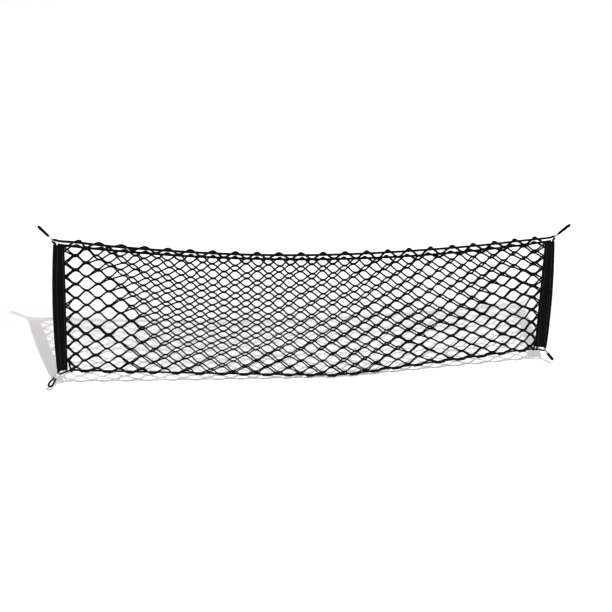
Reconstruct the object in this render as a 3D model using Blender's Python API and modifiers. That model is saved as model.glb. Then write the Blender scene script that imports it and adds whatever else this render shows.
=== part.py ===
"""A two-layer cargo net for a car boot, hanging stretched from its four corner loops.

Two layers of knotless elastic netting share one perimeter cord. The front layer hangs
from the perimeter cord's top run, the back layer from a cord of its own, a little lower,
and both meet at the bottom, so the net is a pocket that is open at the top. A strip of
webbing is folded round the layers at each end, and the perimeter cord runs down inside
its fold. A metal clip on each corner of that cord holds an elastic loop for a hook.

Metres. +X runs along the net, -Y is its front and +Z is up. The origin lies midway
between the two top corners, at the height where the net is held up.
"""

import math

import bmesh
import bpy
from mathutils import Matrix, Vector
from mathutils.geometry import delaunay_2d_cdt

# Cords and their runs
CORD_D = 0.004  # the perimeter cord and the back layer's cord
LOOP_D = 0.0032
TOP_HALF = 0.525  # half the perimeter cord's top run
TOP_SAG = 0.0346
BACK_DROP = 0.0085  # the back cord lies this much under the perimeter cord
BACK_SAG = 0.0353
BACK_RUN = (-0.5165, 0.5155)  # it ends inside the tops of the bands
LOW_X = 0.033  # the lowest point of the bottom run
LOW_Z = -0.2873
LOW_ROUND = 0.03  # how softly the bottom run turns there
SLOPE = {"left": 0.0768, "right": 0.0900}
TOP_RUN = (-0.490, 0.490)  # from corner to corner along the top
LOW_RUN = (0.480, -0.498)  # and back along the bottom
LEAD = 0.008  # how far the cord runs straight on over a band, as a share of the band
LAST = 0.03  # and the last part of its straight run in the fold
NEAR_END = 0.01  # share of the bottom run between its last two points
TOP_SPANS = 16
LOW_SPANS = 24
BACK_SPANS = 20
CORD_STEP = 0.03

# Netting
NET_T = 0.002
LAYER_Y = 0.00115  # half the distance between the middles of the two layers
COLUMNS = 12
ROWS = 5
PITCH = 0.083
ROW_PITCH = 0.05
JOINT = 0.019  # where two strands run side by side
STRAND_W = 0.0032
JOINT_W = 0.0046
HEM_W = 0.003  # the edge strand along a cord
END_W = 0.0015  # the edge strand along a band
INSERT = 0.006  # how far a layer reaches into a band
EDGE_STEP = 0.02
INSIDE_WITH_HOLES = 2  # the kind of filling that leaves the openings open
STRETCH = 0.054  # the mesh is pulled wider towards +X
CROWD = 0.12  # and the rows lie closer together lower down
FRONT_DEPTH = 0.029  # how far the front layer stands forward at the mouth
BACK_DEPTH = 0.006
DEPTH_FADE = 2.0  # the power by which the depth fades downwards
CORNER_FLAT = {"left": 0.38, "right": 0.6}  # share of half the net that lies flat at the bottom
FLAT_BLEND = 0.3  # share over which the depth then comes in
CORNER_EASE = 0.02  # the front layer leaves the cord this far before a band
CORNER_DROP = 0.006

# End bands: each corner as (x, z), and how far the outer edge bows out
BAND_T = 0.0014
FOLD_R = 0.00315  # to the middle of the webbing
BAND_BOW = 0.0045
BANDS = {
    "left_band": {
        "outer_top": (-0.524, -0.0109),
        "inner_top": (-0.506, -0.0133),
        "outer_low": (-0.525, -0.2480),
        "inner_low": (-0.506, -0.2462),
    },
    "right_band": {
        "outer_top": (0.522, -0.0110),
        "inner_top": (0.5005, -0.0141),
        "outer_low": (0.5145, -0.2465),
        "inner_low": (0.4865, -0.2435),
    },
}
PLY_COLUMNS = 2
FOLD_COLUMNS = 6
BAND_ROWS = 8

# Corners of the perimeter cord: where it turns, which way its loop points (degrees from
# +X towards +Z), how far the loop is turned about that direction, and its length
CORNERS = {
    "top_left": {"at": (-0.5213, -0.0015), "aim": 133, "turn": 90, "loop": 0.027},
    "top_right": {"at": (0.5207, -0.0014), "aim": 37, "turn": 90, "loop": 0.031},
    "low_right": {"at": (0.5103, -0.2525), "aim": -46, "turn": 65, "loop": 0.022},
    "low_left": {"at": (-0.5210, -0.2540), "aim": 223, "turn": 0, "loop": 0.021},
}
TURN = (-0.0030, -0.0017, 0.0017, 0.0030)  # the straight bit of cord at a corner
PULLED = {"top": 0.009, "low": 0.015}  # from a corner to where its run is straight again

# Clips and loops
EYE_R = 0.0037
EYE_BORE = 0.0027
EYE_W = 0.0032
BORE_CUT = 0.012  # long enough to cut through the sleeve's corners too
SLEEVE_START = 0.0024
SLEEVE_END = 0.011
SLEEVE_HALF = (0.0037, 0.0019)
SLEEVE_SIDES = 16
LOOP_GAP = 0.0003
LEG_APART = 0.00175  # from the loop's middle line to a leg at the clip
LOOP_HALF = 0.0031  # and where the loop is widest
LEG = [  # share of the loop's length, share of the way from the first of these to the second
    (0.00, 0.0),
    (0.08, 0.0),
    (0.40, 0.6),
    (0.72, 1.0),
]
TIP = [  # share of the length, share of LOOP_HALF
    (0.90, 0.80),
    (0.98, 0.42),
]

CORD_GAP = 0.0004  # between a cord and the netting on it

COLOURS = {
    "netting": ((0.020, 0.020, 0.022), 0.75, 0.0),
    "cord": ((0.015, 0.015, 0.017), 0.60, 0.0),
    "webbing": ((0.024, 0.024, 0.027), 0.85, 0.0),
    "metal": ((0.78, 0.79, 0.80), 0.30, 1.0),
}


# The shape in which the net hangs ----------------------------------------------------


def mix(a, b, t):
    return a + (b - a) * t


def smooth(t):
    t = min(max(t, 0.0), 1.0)
    return t * t * (3 - 2 * t)


def top_z(x):
    return -TOP_SAG * (1 - (x / TOP_HALF) ** 2)


def back_z(x):
    return -BACK_DROP - BACK_SAG * (1 - (x / TOP_HALF) ** 2)


def low_z(x):
    slope = SLOPE["left"] if x < LOW_X else SLOPE["right"]
    return LOW_Z + slope * (math.hypot(x - LOW_X, LOW_ROUND) - LOW_ROUND)


def inner_x(band, v):
    return mix(BANDS[band]["inner_top"][0], BANDS[band]["inner_low"][0], v)


def across(x):
    """-1 at the top of the left band's inner edge and 1 at the right one's."""
    left, right = inner_x("left_band", 0.0), inner_x("right_band", 0.0)
    return min(max((2 * x - left - right) / (right - left), -1.0), 1.0)


def bulge(x, v, depth):
    """How far a layer stands off the middle plane, v down from its cord.

    It lies flat in the two lower corners, more so on the right.
    """
    u = across(x)
    flat = v * CORNER_FLAT["left" if u < 0 else "right"]
    come_in = smooth((1 - abs(u)) / (flat + FLAT_BLEND))
    return depth * (1 - u * u) * (1 - v**DEPTH_FADE) * come_in


def outer_x(band, v):
    top, low = BANDS[band]["outer_top"][0], BANDS[band]["outer_low"][0]
    return mix(top, low, v) + math.copysign(BAND_BOW * 4 * v * (1 - v), top)


# Making objects ----------------------------------------------------------------------


def material(name):
    found = bpy.data.materials.get(name)
    if found:
        return found
    colour, roughness, metallic = COLOURS[name]
    made = bpy.data.materials.new(name)
    made.use_nodes = True
    shader = made.node_tree.nodes["Principled BSDF"]
    shader.inputs["Base Color"].default_value = (*colour, 1.0)
    shader.inputs["Roughness"].default_value = roughness
    shader.inputs["Metallic"].default_value = metallic
    made.diffuse_color = (*colour, 1.0)
    return made


def add(name, data, finish, collection):
    made = bpy.data.objects.new(name, data)
    data.materials.append(material(finish))
    collection.objects.link(made)
    return made


def smooth_route(points, closed):
    """Points along a smooth curve through the given ones, CORD_STEP apart or less."""
    count = len(points)
    ways = []
    for i, point in enumerate(points):
        before = points[i - 1] if closed or i else point
        after = points[(i + 1) % count] if closed or i + 1 < count else point
        ways.append(((point - before).normalized() + (after - point).normalized()).normalized())
    made = []
    for i in range(count if closed else count - 1):
        a, b = points[i], points[(i + 1) % count]
        reach = (b - a).length
        way_a, way_b = ways[i] * reach, ways[(i + 1) % count] * reach
        steps = max(2, math.ceil(reach / CORD_STEP))
        for k in range(steps):
            t = k / steps
            rise = smooth(t)
            made.append(a * (1 - rise) + b * rise
                        + way_a * (t * (1 - t) ** 2) - way_b * (t**2 * (1 - t)))
    return made if closed else [*made, points[-1]]


def cord(name, points, diameter, closed, collection):
    data = bpy.data.curves.new(name, "CURVE")
    data.dimensions = "3D"
    data.bevel_depth = diameter / 2
    data.bevel_resolution = 2
    data.use_fill_caps = True
    spline = data.splines.new("POLY")
    spline.points.add(len(points) - 1)
    for point, place in zip(spline.points, points):
        point.co = (*place, 1.0)
    spline.use_cyclic_u = closed
    return add(name, data, "cord", collection)


# Cords -------------------------------------------------------------------------------


def corner_frame(corner):
    """The corner's place, its loop's direction, and the way the cord runs past it."""
    angle = math.radians(corner["aim"])
    place = Vector((corner["at"][0], 0.0, corner["at"][1]))
    aim = Vector((math.cos(angle), 0.0, math.sin(angle)))
    return place, aim, Vector((aim.z, 0.0, -aim.x))


def corner_points(name):
    place, _, run = corner_frame(CORNERS[name])
    return [place + run * along for along in TURN]


def drawn_tight(name, target):
    """A point on the straight line from a corner to the next point of a run."""
    place = corner_frame(CORNERS[name])[0]
    return place + (target - place).normalized() * PULLED[name[:3]]


def tunnel_points(band, stations):
    """Down the middle of the band's fold."""
    inward = math.copysign(BAND_T / 2 + FOLD_R, -BANDS[band]["outer_top"][0])
    top, low = BANDS[band]["outer_top"][1], BANDS[band]["outer_low"][1]
    return [Vector((outer_x(band, v) + inward, 0.0, mix(top, low, v))) for v in stations]


def perimeter_cord(collection):
    stations = [-LEAD, *[i / BAND_ROWS for i in range(BAND_ROWS)], 1 - LAST, 1.0]
    top = [mix(*TOP_RUN, i / TOP_SPANS) for i in range(TOP_SPANS + 1)]
    spans = [i / LOW_SPANS for i in range(1, LOW_SPANS)]
    low = [mix(*LOW_RUN, t) for t in (0.0, NEAR_END, *spans, 1 - NEAR_END, 1.0)]
    top_run = [Vector((x, -bulge(x, 0.0, FRONT_DEPTH), top_z(x))) for x in top]
    low_run = [Vector((x, 0.0, low_z(x))) for x in low]
    points = [
        *reversed(tunnel_points("left_band", stations)),
        *corner_points("top_left"),
        drawn_tight("top_left", top_run[0]),
        *top_run,
        drawn_tight("top_right", top_run[-1]),
        *corner_points("top_right"),
        *tunnel_points("right_band", stations),
        *corner_points("low_right"),
        drawn_tight("low_right", low_run[0]),
        *low_run,
        drawn_tight("low_left", low_run[-1]),
        *corner_points("low_left"),
    ]
    return cord("perimeter_cord", smooth_route(points, True), CORD_D, True, collection)


def back_cord(collection):
    y = LAYER_Y * 2
    places = [mix(*BACK_RUN, i / BACK_SPANS) for i in range(BACK_SPANS + 1)]
    points = [Vector((x, y + bulge(x, 0.0, BACK_DEPTH), back_z(x))) for x in places]
    return cord("back_cord", smooth_route(points, False), CORD_D, False, collection)


# Netting -----------------------------------------------------------------------------


def clipped(outline, axis, limit, sign):
    """The part of a polygon on one side of a line across the given axis."""
    kept = []
    for a, b in zip(outline, outline[1:] + outline[:1]):
        inside_a, inside_b = (sign * (p[axis] - limit) >= 0 for p in (a, b))
        if inside_a:
            kept.append(a)
        if inside_a != inside_b:
            t = (limit - a[axis]) / (b[axis] - a[axis])
            kept.append((mix(a[0], b[0], t), mix(a[1], b[1], t)))
    return kept


def cell(column, row):
    """A six-sided opening in the flat netting, cut off at its edges."""
    half = (PITCH - JOINT) / 2
    rise = ROW_PITCH / 2
    lean = half - JOINT / 2
    reach = half - STRAND_W / 2 * math.hypot(lean, rise) / rise
    height = rise - JOINT_W / 2
    corner = reach - lean * height / rise
    shape = [
        (-reach, 0), (-corner, height), (corner, height),
        (reach, 0), (corner, -height), (-corner, -height),
    ]
    outline = [(x + column * PITCH, z + row * ROW_PITCH) for x, z in shape]
    edges = [(0, END_W, 1), (0, COLUMNS * PITCH - END_W, -1),
             (1, HEM_W, 1), (1, ROWS * ROW_PITCH - HEM_W, -1)]
    for axis, limit, sign in edges:
        outline = clipped(outline, axis, limit, sign)
    return outline


def flat_netting():
    """The outline and every opening, in the flat, from the top left corner down."""
    left, right = -INSERT, COLUMNS * PITCH + INSERT
    low = ROWS * ROW_PITCH
    count = round((right - left) / EDGE_STEP)
    xs = [mix(left, right, i / count) for i in range(count + 1)]
    zs = [mix(0.0, low, i / ROWS) for i in range(1, ROWS)]
    outline = [(x, 0.0) for x in xs] + [(right, z) for z in zs]
    outline += [(x, low) for x in reversed(xs)] + [(left, z) for z in reversed(zs)]
    loops = [outline]
    for i in range(2 * COLUMNS + 1):
        offset = 0.5 if i % 2 else 0.0
        for j in range(ROWS + (0 if i % 2 else 1)):
            loops.append(cell(i / 2, j + offset))
    return loops


def hang(place, side, depth):
    """Carries a point of the flat netting to where it hangs. side is -1 in front."""
    s, v = place.x / (COLUMNS * PITCH), place.y / (ROWS * ROW_PITCH)
    s += STRETCH * s * (s - 1)
    x = mix(inner_x("left_band", v), inner_x("right_band", v), s)
    edge = CORD_D / 2 + CORD_GAP
    if side < 0:
        to_band = min(x - inner_x("left_band", v), inner_x("right_band", v) - x)
        top = top_z(x) - edge - CORNER_DROP * (1 - smooth(to_band / CORNER_EASE))
    else:
        top = back_z(x) - edge
    z = mix(top, low_z(x) + edge, v + CROWD * v * (1 - v))
    return Vector((x, side * (LAYER_Y + bulge(x, v, depth)), z))


def netting(name, side, depth, collection):
    loops = flat_netting()
    points, rings = [], []
    for loop in loops:
        rings.append(range(len(points), len(points) + len(loop)))
        points.extend(Vector(place) for place in loop)
    filled = delaunay_2d_cdt(points, [], rings, INSIDE_WITH_HOLES, 1e-6)
    mesh = bpy.data.meshes.new(name)
    mesh.from_pydata([hang(place, side, depth) for place in filled[0]], [], filled[2])
    made = add(name, mesh, "netting", collection)
    thick = made.modifiers.new("thickness", "SOLIDIFY")
    thick.thickness = NET_T
    thick.offset = 0.0
    return made


# Bands -------------------------------------------------------------------------------


def band(name, collection):
    """Webbing folded in two round the netting, with the perimeter cord in its fold."""
    sizes = BANDS[name]
    inward = math.copysign(1.0, -sizes["outer_top"][0])
    columns = 2 * PLY_COLUMNS + FOLD_COLUMNS
    bm = bmesh.new()
    bmesh.ops.create_grid(bm, x_segments=columns, y_segments=BAND_ROWS, size=1.0)
    for vertex in bm.verts:
        i = round((vertex.co.x + 1) / 2 * columns)
        v = (1 - vertex.co.y) / 2
        outer, inner = outer_x(name, v), inner_x(name, v)
        centre = outer + inward * (BAND_T / 2 + FOLD_R)
        from_edge = min(i, columns - i) / PLY_COLUMNS
        if from_edge < 1:
            x, y = mix(inner, centre, from_edge), math.copysign(FOLD_R, i - columns / 2)
        else:
            angle = math.pi * ((i - PLY_COLUMNS) / FOLD_COLUMNS - 0.5)
            x = centre - inward * FOLD_R * math.cos(angle)
            y = FOLD_R * math.sin(angle)
        share = (x - outer) / (inner - outer)
        top = mix(sizes["outer_top"][1], sizes["inner_top"][1], share)
        low = mix(sizes["outer_low"][1], sizes["inner_low"][1], share)
        vertex.co = (x, y, mix(top, low, v))
    bmesh.ops.recalc_face_normals(bm, faces=bm.faces)
    mesh = bpy.data.meshes.new(name)
    bm.to_mesh(mesh)
    bm.free()
    made = add(name, mesh, "webbing", collection)
    mesh.shade_smooth()
    thick = made.modifiers.new("thickness", "SOLIDIFY")
    thick.thickness = BAND_T
    thick.offset = 0.0
    return made


# Clips and loops ---------------------------------------------------------------------


def cylinder(name, matrix, sides, collection, cutter=False):
    bm = bmesh.new()
    bmesh.ops.create_cone(bm, cap_ends=True, segments=sides, radius1=1.0, radius2=1.0,
                          depth=1.0, matrix=matrix)
    mesh = bpy.data.meshes.new(name)
    bm.to_mesh(mesh)
    bm.free()
    made = add(name, mesh, "metal", collection)
    if cutter:
        made.hide_render = True
        made.display_type = "WIRE"
    return made


def combine(target, tool, operation):
    modifier = target.modifiers.new(operation.lower(), "BOOLEAN")
    modifier.operation = operation
    modifier.object = tool


def oriented(columns, place):
    """A matrix whose axes are the given vectors."""
    return Matrix.Translation(place) @ Matrix(columns).transposed().to_4x4()


def clip(name, corner, collection, cutters):
    """An oval sleeve on the loop's two ends, with an eye round the perimeter cord."""
    place, aim, run = corner_frame(corner)
    out = aim.cross(run)
    turned = Matrix.Rotation(math.radians(corner["turn"]), 3, aim)
    wide, thin = turned @ run * SLEEVE_HALF[0], turned @ out * SLEEVE_HALF[1]
    middle = place + aim * (SLEEVE_START + SLEEVE_END) / 2
    sleeve = oriented((wide, thin, aim * (SLEEVE_END - SLEEVE_START)), middle)
    made = cylinder(name, sleeve, SLEEVE_SIDES, collection)
    for label, radius, length, work in (
        ("eye", EYE_R, EYE_W, "UNION"),
        ("bore", EYE_BORE, BORE_CUT, "DIFFERENCE"),
    ):
        matrix = oriented((aim * radius, out * radius, run * -length), place)
        tool = cylinder(f"{name}_{label}", matrix, SLEEVE_SIDES, cutters, cutter=True)
        combine(made, tool, work)
    return made


def loop_points(corner):
    """From the clip, out along one leg, round the tip and back."""
    place, aim, run = corner_frame(corner)
    side = Matrix.Rotation(math.radians(corner["turn"]), 3, aim) @ run
    start = SLEEVE_END + LOOP_GAP
    length = corner["loop"] - LOOP_D / 2
    half = [(t, mix(LEG_APART, LOOP_HALF, share)) for t, share in LEG]
    half += [(t, LOOP_HALF * share) for t, share in TIP]
    route = [*half, (1.0, 0.0), *[(t, -w) for t, w in reversed(half)]]
    return [place + aim * (start + t * length) + side * w for t, w in route]


def build():
    for made in list(bpy.data.objects):
        bpy.data.objects.remove(made, do_unlink=True)
    scene = bpy.context.scene
    scene.unit_settings.system = "METRIC"
    parts = bpy.data.collections.new("cargo_net")
    cutters = bpy.data.collections.new("cutters")
    scene.collection.children.link(parts)
    scene.collection.children.link(cutters)
    netting("front_net", -1, FRONT_DEPTH, parts)
    netting("back_net", 1, BACK_DEPTH, parts)
    perimeter_cord(parts)
    back_cord(parts)
    for name in BANDS:
        band(name, parts)
    for name, corner in CORNERS.items():
        clip(f"clip_{name}", corner, parts, cutters)
        route = smooth_route(loop_points(corner), False)
        cord(f"loop_{name}", route, LOOP_D, False, parts)


build()
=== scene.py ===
"""The looks of a two-layer cargo net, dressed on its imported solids.

The netting is modelled strand by strand at its real pitch: each layer has nineteen wavy
strands, and each strand is fused to its neighbours where a crest meets a trough. The top
strand of a layer winds over that layer's cord, and both bottom strands wind under the
shared one. The cords, the folded webbing at the ends with its stitches, the clips and the
corner loops are modelled too, so every solid is replaced by a finer piece of its form.
"""

import itertools
import math

import bpy
import numpy as np
from mathutils import Matrix, Vector


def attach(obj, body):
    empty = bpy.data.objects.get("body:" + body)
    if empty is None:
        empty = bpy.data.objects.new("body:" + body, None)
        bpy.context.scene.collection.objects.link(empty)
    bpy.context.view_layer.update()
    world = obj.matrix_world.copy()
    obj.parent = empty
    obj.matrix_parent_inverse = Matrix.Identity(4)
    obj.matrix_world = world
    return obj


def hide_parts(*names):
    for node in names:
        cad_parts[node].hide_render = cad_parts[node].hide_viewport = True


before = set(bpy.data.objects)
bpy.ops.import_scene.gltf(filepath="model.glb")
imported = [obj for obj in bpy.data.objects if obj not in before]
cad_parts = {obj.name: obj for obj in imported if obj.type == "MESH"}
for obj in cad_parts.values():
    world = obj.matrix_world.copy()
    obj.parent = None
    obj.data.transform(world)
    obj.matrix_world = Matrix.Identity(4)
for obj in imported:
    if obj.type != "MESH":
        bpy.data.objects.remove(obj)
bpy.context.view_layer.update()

# The shape in which the net hangs, in metres, close to the solids' own ---------------------

CORD_R = 0.0024
LOOP_R = 0.0019
NET_HEIGHT = 0.25
TOP_HALF = 0.525
TOP_SAG = 0.0346
BACK_DROP = 0.0085  # the back layer's cord lies this much under the perimeter cord
BACK_SAG = 0.0353
BACK_RUN = (-0.5165, 0.5155)
LOW_X = 0.033  # the lowest point of the bottom run
LOW_Z = -0.2873
LOW_ROUND = 0.03  # how softly the bottom run turns there
SLOPE = {"left": 0.0768, "right": 0.0900}
TOP_RUN = (-0.490, 0.490)
LOW_RUN = (0.480, -0.498)
# Where the cords leave their even curves: how much higher they lie, at x, how wide
TOP_LIFTS = [(0.0038, 0.22, 0.25), (-0.0008, -0.435, 0.07)]
LOW_LIFTS = [(0.0028, 0.13, 0.30)]
LIFT_EDGE = 0.06  # and over this they come back to them, towards the right corner
LEAD = 0.008  # the cord is straight from this far over a band, as a share of its height
LAST = 0.03  # and the last part of its run in the fold
NEAR_END = 0.01  # share of the bottom run between its last two points
TOP_SPANS = 16
LOW_SPANS = 24
FRONT_DEPTH = 0.029  # how far the front layer stands forward at the mouth
BACK_DEPTH = 0.006
DEPTH_FADE = 2.0  # the power by which the depth fades downwards
CORNER_FLAT = {"left": 0.38, "right": 0.6}  # share of half the net that lies flat at the bottom
FLAT_BLEND = 0.3  # share over which the depth then comes in
BAND_T = 0.0014
FOLD_R = 0.00315  # from the fold's middle to the middle of the webbing
BANDS = {  # each corner as (x, z), and how far the outer edge bows out
    "left_band": {
        "outer_top": (-0.5246, -0.0093),
        "inner_top": (-0.5045, -0.0124),
        "outer_low": (-0.5272, -0.2492),
        "inner_low": (-0.5080, -0.2474),
        "bow": 0.0045,
    },
    "right_band": {
        "outer_top": (0.5234, -0.0100),
        "inner_top": (0.5020, -0.0136),
        "outer_low": (0.5145, -0.2477),
        "inner_low": (0.4868, -0.2447),
        "bow": 0.0045,
    },
}
NET_EDGES = {"left_band": (-0.5045, -0.506), "right_band": (0.5005, 0.4865)}  # top and bottom x
BAND_STATIONS = 8

# Corners of the perimeter cord: where it turns, which way its loop points (degrees from +X
# towards +Z), how far the loop is turned about that direction, and its length
CORNERS = {
    "top_left": {"at": (-0.5240, -0.0019), "aim": 133.5, "turn": 84, "loop": 0.0255},
    "top_right": {"at": (0.5224, -0.0012), "aim": 35.8, "turn": 92, "loop": 0.036},
    "low_right": {"at": (0.5103, -0.2525), "aim": -48, "turn": 75, "loop": 0.0218},
    "low_left": {"at": (-0.5243, -0.2535), "aim": 233.5, "turn": 0, "loop": 0.0210},
}
TURN = (-0.0019, -0.0011, 0.0011, 0.0019)  # the straight bit of cord at a corner
PULLED = {"top": 0.009, "low": 0.015}  # from a corner to where its run is straight again

# The camera --------------------------------------------------------------------------------

PHOTO_SIDE = 612
FOCAL_PIXELS = 700
SENSOR = 36.0
CAMERA_AT = Vector((-0.370, -1.381, 0.036))
CAMERA_YAW = math.radians(13.43)  # towards +X
CAMERA_DIP = math.radians(7.0)


def mix(a, b, t):
    return a + (b - a) * t


def smooth(t):
    t = min(max(t, 0.0), 1.0)
    return t * t * (3 - 2 * t)


def top_z(x):
    return -TOP_SAG * (1 - (x / TOP_HALF) ** 2)


def back_z(x):
    return -BACK_DROP - BACK_SAG * (1 - (x / TOP_HALF) ** 2)


def low_z(x):
    slope = SLOPE["left"] if x < LOW_X else SLOPE["right"]
    return LOW_Z + slope * (math.hypot(x - LOW_X, LOW_ROUND) - LOW_ROUND)


def hump(value, middle, width):
    return math.exp(-(((value - middle) / width) ** 2))


def lifted(x, lifts):
    """How much higher a cord lies at x than its even curve."""
    rise = sum(by * hump(x, middle, width) for by, middle, width in lifts)
    return rise * smooth((TOP_RUN[1] - x) / LIFT_EDGE)


def front_cord_z(x):
    return top_z(x) + lifted(x, TOP_LIFTS)


def low_cord_z(x):
    return low_z(x) + lifted(x, LOW_LIFTS)


def inner_x(band, v):
    return mix(BANDS[band]["inner_top"][0], BANDS[band]["inner_low"][0], v)


def outer_x(band, v):
    top, low = BANDS[band]["outer_top"][0], BANDS[band]["outer_low"][0]
    return mix(top, low, v) + math.copysign(BANDS[band]["bow"] * 4 * v * (1 - v), top)


def across(x):
    """-1 at the top of the mesh's left edge and 1 at its right one's."""
    left, right = NET_EDGES["left_band"][0], NET_EDGES["right_band"][0]
    return min(max((2 * x - left - right) / (right - left), -1.0), 1.0)


def bulge(x, v, depth):
    """How far a layer stands off the middle plane, v down from its cord."""
    v = max(v, 0.0)
    u = across(x)
    flat = v * CORNER_FLAT["left" if u < 0 else "right"]
    come_in = smooth((1 - abs(u)) / (flat + FLAT_BLEND))
    return depth * (1 - u * u) * max(1 - v**DEPTH_FADE, 0.0) * come_in


# Mesh code ---------------------------------------------------------------------------------


def add_mesh(name, points, faces, coords, finish):
    """One smooth mesh. coords holds a UV pair for each corner of each face."""
    mesh = bpy.data.meshes.new(name)
    mesh.from_pydata(points, [], faces)
    layer = mesh.uv_layers.new(name="UVMap")
    layer.data.foreach_set("uv", np.asarray(coords, dtype=np.float32).ravel())
    mesh.shade_smooth()
    made = bpy.data.objects.new(name, mesh)
    made.data.materials.append(finish)
    bpy.context.scene.collection.objects.link(made)
    return made


def grid_faces(rows, columns, wrap_rows, wrap_columns, first):
    """Quads over rows of points, with the row and column number of each corner."""
    i = np.arange(rows if wrap_rows else rows - 1)
    j = np.arange(columns if wrap_columns else columns - 1)
    i, j = (grid.ravel() for grid in np.meshgrid(i, j, indexing="ij"))
    corner_rows = np.stack([i, i, i + 1, i + 1], axis=1)
    corner_columns = np.stack([j, j + 1, j + 1, j], axis=1)
    index = first + (corner_rows % rows) * columns + corner_columns % columns
    return index, corner_rows, corner_columns


def end_faces(rows, columns, first):
    """One face over the first row of points, which is a closed ring, and one over the last."""
    ring = range(columns)
    last = first + (rows - 1) * columns
    return [[first + k for k in ring], [last + k for k in reversed(ring)]]


def tube_rings(route, half_sizes, sides, facing, closed, swell):
    """Rings of points round a route, and the length run at each of them."""
    points = np.asarray(route, dtype=float)
    if closed:
        ways = np.roll(points, -1, axis=0) - np.roll(points, 1, axis=0)
    else:
        ways = np.gradient(points, axis=0)
    ways /= np.linalg.norm(ways, axis=1)[:, None]
    side = np.cross(ways, np.asarray(facing, dtype=float))
    side /= np.linalg.norm(side, axis=1)[:, None]
    out = np.cross(side, ways)
    angles = np.arange(sides) * 2 * math.pi / sides
    if swell is None:
        swell = np.ones(len(points))
    scale = np.asarray(swell)[:, None, None]
    rings = points[:, None, :] + scale * (
        side[:, None, :] * (np.cos(angles) * half_sizes[0])[None, :, None]
        + out[:, None, :] * (np.sin(angles) * half_sizes[1])[None, :, None]
    )
    steps = np.linalg.norm(np.diff(points, axis=0), axis=1)
    run = np.concatenate([[0.0], np.cumsum(steps)])
    return rings, run


def add_tubes(name, routes, half_sizes, sides, finish, facing=(0, 1, 0), closed=False, swells=None):
    """One mesh of closed tubes with oval sections. UV is the length run and the turn."""
    points, faces, coords = [], [], []
    first = 0
    for number, route in enumerate(routes):
        swell = None if swells is None else swells[number]
        rings, run = tube_rings(route, half_sizes, sides, facing, closed, swell)
        rows = len(rings)
        index, at_row, at_column = grid_faces(rows, sides, closed, True, first)
        length = np.append(run, run[-1] + np.linalg.norm(rings[0, 0] - rings[-1, 0]))
        faces.extend(index.tolist())
        coords.extend(np.stack([length[at_row], at_column / sides], axis=2).reshape(-1, 2))
        points.append(rings.reshape(-1, 3))
        if not closed:
            faces.extend(end_faces(rows, sides, first))
            for row in (0, rows - 1):
                coords.extend([(length[row], 0.0)] * sides)
        first += rows * sides
    made = add_mesh(name, np.concatenate(points).tolist(), faces, coords, finish)
    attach(made, "root")
    return made


def smooth_route(points, closed, step):
    """Points along a smooth curve through the given ones, a step apart or less."""
    points = [Vector(point) for point in points]
    count = len(points)
    ways = []
    for i, point in enumerate(points):
        before = points[i - 1] if closed or i else point
        after = points[(i + 1) % count] if closed or i + 1 < count else point
        ways.append(((point - before).normalized() + (after - point).normalized()).normalized())
    made = []
    for i in range(count if closed else count - 1):
        a, b = points[i], points[(i + 1) % count]
        reach = (b - a).length
        way_a, way_b = ways[i] * reach, ways[(i + 1) % count] * reach
        steps = max(2, math.ceil(reach / step))
        for k in range(steps):
            t = k / steps
            rise = smooth(t)
            made.append(a * (1 - rise) + b * rise
                        + way_a * (t * (1 - t) ** 2) - way_b * (t**2 * (1 - t)))
    return made if closed else [*made, points[-1]]


# Materials ---------------------------------------------------------------------------------

NOISE_DETAIL = 3.0
RIB_PITCH = 0.0011  # across the webbing
YARN_PITCH = 0.0009  # and along it
BLACK = (0.0005, 0.0005, 0.0005)


class Nodes:
    """A short way to write a material's node tree."""

    def __init__(self, name):
        self.material = bpy.data.materials.new(name)
        self.material.use_nodes = True
        self.tree = self.material.node_tree
        self.shader = self.tree.nodes["Principled BSDF"]

    def put(self, kind, inputs=(), **settings):
        node = self.tree.nodes.new(kind)
        for key, value in settings.items():
            setattr(node, key, value)
        for key, value in dict(inputs).items():
            self.set(node, key, value)
        return node

    def set(self, node, key, value):
        if isinstance(value, bpy.types.NodeSocket):
            self.tree.links.new(value, node.inputs[key])
        else:
            node.inputs[key].default_value = value

    def maths(self, operation, a, b=0.0):
        return self.put("ShaderNodeMath", {0: a, 1: b}, operation=operation).outputs[0]

    def noise(self, vector, scale):
        inputs = {"Vector": vector, "Scale": scale, "Detail": NOISE_DETAIL}
        return self.put("ShaderNodeTexNoise", inputs).outputs["Fac"]

    def ramp(self, factor, stops):
        node = self.put("ShaderNodeValToRGB", {"Fac": factor})
        elements = node.color_ramp.elements
        for element, (place, colour) in zip(elements, stops):
            element.position = place
            element.color = (*colour, 1.0)
        return node.outputs["Color"]

    def blend(self, *terms, start=0.0):
        """The sum of (value, factor) pairs, and of what it starts from."""
        total = start
        for value, factor in terms:
            total = self.maths("ADD", self.maths("MULTIPLY", value, factor), total)
        return total

    def wave(self, *terms):
        return self.maths("SINE", self.blend(*terms))

    def look(self, colour, roughness, specular=None, metallic=0.0):
        self.set(self.shader, "Base Color", colour)
        self.set(self.shader, "Roughness", roughness)
        self.set(self.shader, "Metallic", metallic)
        if specular is not None:
            self.set(self.shader, "Specular IOR Level", specular)

    def relief(self, height, strength, distance):
        inputs = {"Height": height, "Strength": strength, "Distance": distance}
        self.set(self.shader, "Normal", self.put("ShaderNodeBump", inputs).outputs["Normal"])

    def uv(self):
        vector = self.put("ShaderNodeUVMap", uv_map="UVMap").outputs["UV"]
        parts = self.put("ShaderNodeSeparateXYZ", {"Vector": vector})
        return parts.outputs["X"], parts.outputs["Y"]

    def place(self):
        return self.put("ShaderNodeTexCoord").outputs["Object"]


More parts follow.
